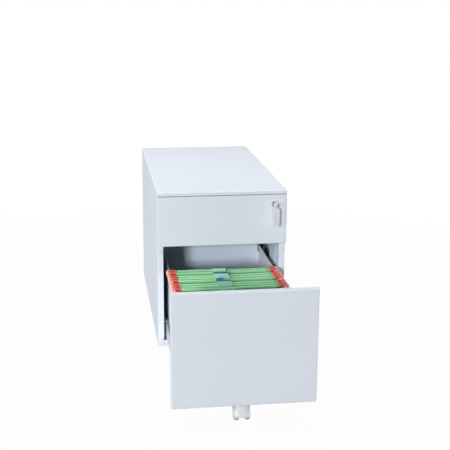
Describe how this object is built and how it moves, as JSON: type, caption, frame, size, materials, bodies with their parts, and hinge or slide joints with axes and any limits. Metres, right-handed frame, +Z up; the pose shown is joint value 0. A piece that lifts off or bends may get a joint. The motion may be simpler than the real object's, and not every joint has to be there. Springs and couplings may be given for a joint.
{
  "type": "mobile filing cabinet",
  "caption": "Mobile steel pedestal: shallow lockable drawer with a folding key above a deep suspension-file drawer, shown pulled open on a castor of its own.",
  "frame": {"origin": "on the floor, under the middle of the plan of the cabinet with its file drawer as stored, pulled out", "axes": "+Z up, +Y from the drawer fronts to the back, +X to the right seen from the front"},
  "size_m": [0.4, 1.24, 0.565],
  "materials": {
    "powder_coat": "fine satin powder coat, pale grey",
    "zinc_steel": "bright zinc plated sheet steel",
    "chrome_plate": "polished chrome plate",
    "key_plastic": "pale grey moulded plastic",
    "castor_plastic": "pale grey moulded nylon",
    "wheel_plastic": "mid grey moulded nylon tread",
    "folder_card": "matt pale green card",
    "hook_plastic": "red moulded plastic",
    "label_plastic": "blue translucent label holder",
    "buffer_rubber": "soft pale grey rubber"
  },
  "bodies": {
    "cabinet": {"top_panel": "powder_coat", "left_side_panel": "powder_coat", "right_side_panel": "powder_coat", "back_panel": "powder_coat", "base_pan": "powder_coat", "left_front_upright": "powder_coat", "right_front_upright": "powder_coat", "left_rear_upright": "powder_coat", "right_rear_upright": "powder_coat", "upper_outer_runners": "zinc_steel", "file_outer_runners": "zinc_steel", "castor_mounts": "zinc_steel", "castor_screws": "zinc_steel", "runner_screws": "zinc_steel", "front_buffers": "buffer_rubber", "lock_bar_guides": "zinc_steel"},
    "lock_bar": {"lock_bar": "zinc_steel"},
    "upper_drawer": {"upper_front_panel": "powder_coat", "upper_front_liner": "powder_coat", "upper_drawer_bottom": "powder_coat", "upper_drawer_left_side": "powder_coat", "upper_drawer_right_side": "powder_coat", "upper_drawer_back": "powder_coat", "upper_inner_runners": "zinc_steel", "upper_lock_stud": "zinc_steel", "lock_body": "chrome_plate", "lock_nut": "zinc_steel"},
    "upper_runner_middle": {"upper_middle_runners": "zinc_steel"},
    "lock_plug": {"lock_plug": "chrome_plate", "lock_cam": "zinc_steel", "key_blade": "chrome_plate"},
    "key_bow": {"key_bow": "key_plastic"},
    "file_drawer": {"file_front_panel": "powder_coat", "file_front_liner": "powder_coat", "file_drawer_bottom": "powder_coat", "file_drawer_left_side": "powder_coat", "file_drawer_right_side": "powder_coat", "file_drawer_back": "powder_coat", "file_inner_runners": "zinc_steel", "file_lock_stud": "zinc_steel", "drawer_castor_bracket": "zinc_steel", "drawer_castor_mount": "zinc_steel"},
    "file_runner_middle": {"file_middle_runners": "zinc_steel"},
    "hanging_files": {"file_folders": "folder_card", "file_hooks": "hook_plastic", "file_labels": "label_plastic"},
    "front_left_castor_swivel": {"front_left_castor_hood": "castor_plastic"},
    "front_left_castor_wheels": {"front_left_castor_wheels": "wheel_plastic"},
    "front_right_castor_swivel": {"front_right_castor_hood": "castor_plastic"},
    "front_right_castor_wheels": {"front_right_castor_wheels": "wheel_plastic"},
    "rear_left_castor_swivel": {"rear_left_castor_hood": "castor_plastic"},
    "rear_left_castor_wheels": {"rear_left_castor_wheels": "wheel_plastic"},
    "rear_right_castor_swivel": {"rear_right_castor_hood": "castor_plastic"},
    "rear_right_castor_wheels": {"rear_right_castor_wheels": "wheel_plastic"},
    "drawer_castor_swivel": {"drawer_castor_hood": "castor_plastic"},
    "drawer_castor_wheels": {"drawer_castor_wheels": "wheel_plastic"}
  },
  "joints": [
    {"name": "upper_drawer_slide", "type": "slide", "parent": "cabinet", "child": "upper_drawer", "axis": [0, -1, 0], "range_m": [0, 0.6]},
    {"name": "upper_runner_slide", "type": "slide", "parent": "cabinet", "child": "upper_runner_middle", "axis": [0, -1, 0], "range_m": [0, 0.3]},
    {"name": "file_drawer_slide", "type": "slide", "parent": "cabinet", "child": "file_drawer", "axis": [0, -1, 0], "range_m": [-0.45, 0.19]},
    {"name": "file_runner_slide", "type": "slide", "parent": "cabinet", "child": "file_runner_middle", "axis": [0, -1, 0], "range_m": [-0.225, 0.095]},
    {"name": "files_slide", "type": "slide", "parent": "file_drawer", "child": "hanging_files", "axis": [0, 1, 0], "range_m": [0, 0.25]},
    {"name": "lock_turn", "type": "hinge", "parent": "upper_drawer", "child": "lock_plug", "pos_m": [0.16, -0.17, 0.524], "axis": [0, -1, 0], "range_deg": [0, 90]},
    {"name": "lock_bar_slide", "type": "slide", "parent": "cabinet", "child": "lock_bar", "axis": [0, 0, 1], "range_m": [0, 0.01202]},
    {"name": "key_fold", "type": "hinge", "parent": "lock_plug", "child": "key_bow", "pos_m": [0.16, -0.196, 0.524], "axis": [-1, 0, 0], "range_deg": [0, 90]},
    {"name": "front_left_castor_swivel", "type": "hinge", "parent": "cabinet", "child": "front_left_castor_swivel", "pos_m": [-0.13, 0.02, 0.05], "axis": [0, 0, 1], "continuous": true},
    {"name": "front_left_castor_roll", "type": "hinge", "parent": "front_left_castor_swivel", "child": "front_left_castor_wheels", "pos_m": [-0.13, 0.035, 0.021], "axis": [1, 0, 0], "continuous": true},
    {"name": "front_right_castor_swivel", "type": "hinge", "parent": "cabinet", "child": "front_right_castor_swivel", "pos_m": [0.13, 0.02, 0.05], "axis": [0, 0, 1], "continuous": true},
    {"name": "front_right_castor_roll", "type": "hinge", "parent": "front_right_castor_swivel", "child": "front_right_castor_wheels", "pos_m": [0.13, 0.035, 0.021], "axis": [1, 0, 0], "continuous": true},
    {"name": "rear_left_castor_swivel", "type": "hinge", "parent": "cabinet", "child": "rear_left_castor_swivel", "pos_m": [-0.13, 0.53, 0.05], "axis": [0, 0, 1], "continuous": true},
    {"name": "rear_left_castor_roll", "type": "hinge", "parent": "rear_left_castor_swivel", "child": "rear_left_castor_wheels", "pos_m": [-0.13, 0.545, 0.021], "axis": [1, 0, 0], "continuous": true},
    {"name": "rear_right_castor_swivel", "type": "hinge", "parent": "cabinet", "child": "rear_right_castor_swivel", "pos_m": [0.13, 0.53, 0.05], "axis": [0, 0, 1], "continuous": true},
    {"name": "rear_right_castor_roll", "type": "hinge", "parent": "rear_right_castor_swivel", "child": "rear_right_castor_wheels", "pos_m": [0.13, 0.545, 0.021], "axis": [1, 0, 0], "continuous": true},
    {"name": "drawer_castor_swivel", "type": "hinge", "parent": "file_drawer", "child": "drawer_castor_swivel", "pos_m": [0, -0.578, 0.05], "axis": [0, 0, 1], "continuous": true},
    {"name": "drawer_castor_roll", "type": "hinge", "parent": "drawer_castor_swivel", "child": "drawer_castor_wheels", "pos_m": [0, -0.563, 0.021], "axis": [1, 0, 0], "continuous": true}
  ],
  "couplings": [
    {"joint": "upper_runner_slide", "follows": "upper_drawer_slide", "ratio": 0.5},
    {"joint": "file_runner_slide", "follows": "file_drawer_slide", "ratio": 0.5},
    {"joint": "lock_bar_slide", "follows": "lock_turn", "m_per_rad": 0.007652}
  ]
}
